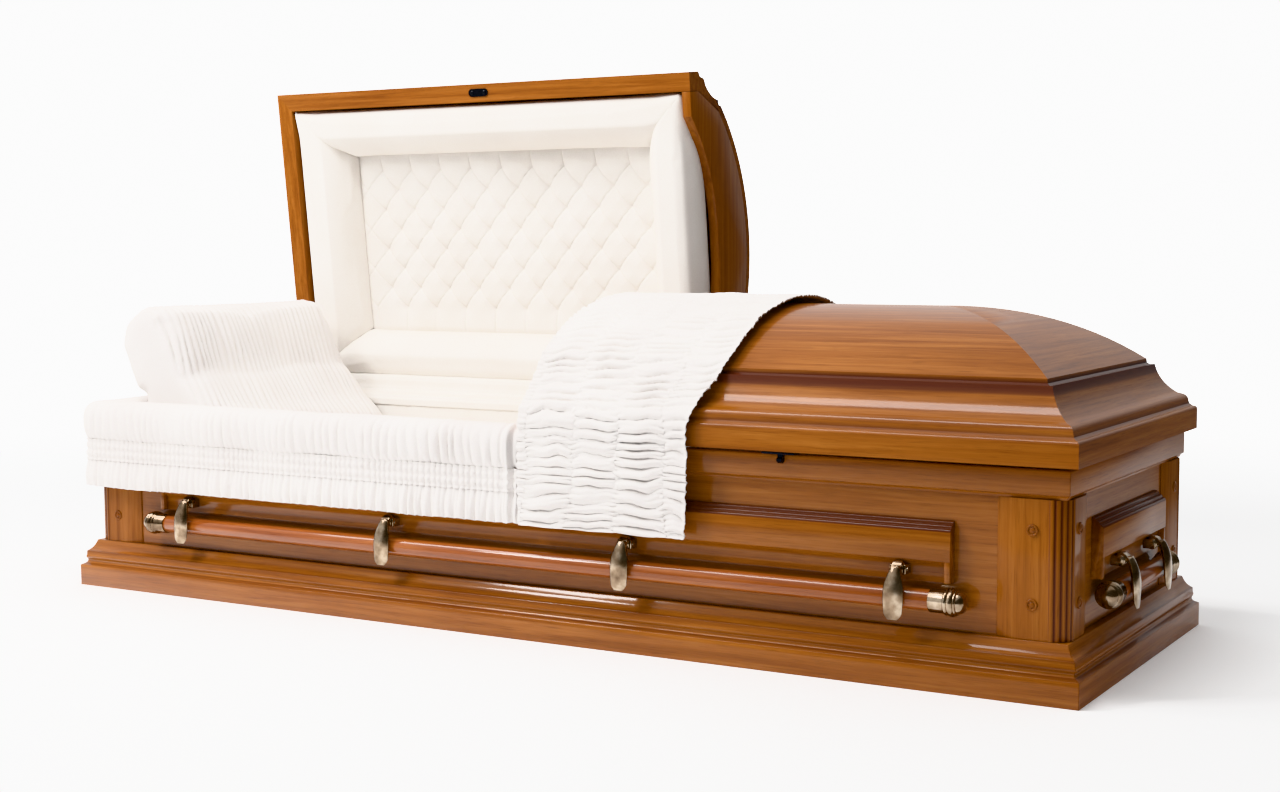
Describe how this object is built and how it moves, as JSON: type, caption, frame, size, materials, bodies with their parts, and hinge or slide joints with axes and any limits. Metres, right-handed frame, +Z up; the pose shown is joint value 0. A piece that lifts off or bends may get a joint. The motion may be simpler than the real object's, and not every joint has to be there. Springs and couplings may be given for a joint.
{
  "type": "wooden coffin",
  "caption": "Stained wooden half-couch coffin with a moulded two-part lid, panelled sides, swing bars, and a cream crepe lining with pillow and throws.",
  "frame": {"origin": "centre of the underside, on the middle floor bearer", "axes": "+X towards the foot end, -Y to the front where the lids open, +Z up; the head lid is open at rest"},
  "size_m": [2.1216, 0.8995, 1.0441],
  "materials": {
    "stained_wood": "satin clear coat over a cherry and honey stain, fine straight grain",
    "pole_wood": "turned, stained, satin clear coat",
    "antique_brass": "cast, pale antique brass plating, polished on the high places",
    "black_metal": "black lacquered",
    "crepe_cloth": "off-white crepe, finely crinkled and shirred",
    "lining_cloth": "cream crepe, smooth and stuffed"
  },
  "bodies": {
    "root": {"body_lining": "lining_cloth", "corner_post_foot_back": "stained_wood", "corner_post_foot_front": "stained_wood", "corner_post_head_back": "stained_wood", "corner_post_head_front": "stained_wood", "extendover": "crepe_cloth", "floor_board": "stained_wood", "hinge_foot": "antique_brass", "hinge_head": "antique_brass", "mattress": "lining_cloth", "pillow": "crepe_cloth", "plinth_back": "stained_wood", "plinth_foot": "stained_wood", "plinth_front": "stained_wood", "plinth_head": "stained_wood", "raised_panel_back": "stained_wood", "raised_panel_foot": "stained_wood", "raised_panel_front": "stained_wood", "raised_panel_head": "stained_wood", "rim_back": "stained_wood", "rim_foot": "stained_wood", "rim_front": "stained_wood", "rim_head": "stained_wood", "wall_back": "stained_wood", "wall_foot": "stained_wood", "wall_front": "stained_wood", "wall_head": "stained_wood"},
    "head_lid": {"head_lid_cap": "stained_wood", "head_lid_header": "stained_wood", "head_lid_rolls": "lining_cloth", "head_lid_strike": "black_metal", "head_lid_tufting": "lining_cloth"},
    "foot_lid": {"foot_lid_cap": "stained_wood", "foot_lid_header": "stained_wood", "foot_lid_latch": "black_metal", "foot_lid_overlay": "crepe_cloth"},
    "front_bar": {"front_bar_arm_1": "antique_brass", "front_bar_arm_2": "antique_brass", "front_bar_arm_3": "antique_brass", "front_bar_arm_4": "antique_brass", "front_bar_pole": "pole_wood", "front_bar_tip_1": "antique_brass", "front_bar_tip_2": "antique_brass"},
    "back_bar": {"back_bar_arm_1": "antique_brass", "back_bar_arm_2": "antique_brass", "back_bar_arm_3": "antique_brass", "back_bar_arm_4": "antique_brass", "back_bar_pole": "pole_wood", "back_bar_tip_1": "antique_brass", "back_bar_tip_2": "antique_brass"},
    "head_bar": {"head_bar_arm_1": "antique_brass", "head_bar_arm_2": "antique_brass", "head_bar_pole": "pole_wood", "head_bar_tip_1": "antique_brass", "head_bar_tip_2": "antique_brass"},
    "foot_bar": {"foot_bar_arm_1": "antique_brass", "foot_bar_arm_2": "antique_brass", "foot_bar_pole": "pole_wood", "foot_bar_tip_1": "antique_brass", "foot_bar_tip_2": "antique_brass"}
  },
  "joints": [
    {"name": "head_lid_hinge", "type": "hinge", "parent": "root", "child": "head_lid", "pos_m": [0, 0.334, 0.3585], "axis": [1, 0, 0], "range_deg": [0, 83.7], "deforming": ["pillow", "extendover", "foot_lid_overlay"]},
    {"name": "foot_lid_hinge", "type": "hinge", "parent": "root", "child": "foot_lid", "pos_m": [0, 0.334, 0.3585], "axis": [1, 0, 0], "range_deg": [-83.7, 0], "deforming": ["foot_lid_overlay", "extendover"]},
    {"name": "front_bar_swing", "type": "hinge", "parent": "root", "child": "front_bar", "pos_m": [0, -0.345, 0.187], "axis": [1, 0, 0], "range_deg": [-75, 0], "deforming": ["extendover", "foot_lid_overlay"]},
    {"name": "back_bar_swing", "type": "hinge", "parent": "root", "child": "back_bar", "pos_m": [0, 0.345, 0.187], "axis": [1, 0, 0], "range_deg": [0, 75]},
    {"name": "head_bar_swing", "type": "hinge", "parent": "root", "child": "head_bar", "pos_m": [-1.035, 0, 0.187], "axis": [0, 1, 0], "range_deg": [0, 75], "deforming": ["extendover"]},
    {"name": "foot_bar_swing", "type": "hinge", "parent": "root", "child": "foot_bar", "pos_m": [1.035, 0, 0.187], "axis": [0, 1, 0], "range_deg": [-75, 0]}
  ]
}
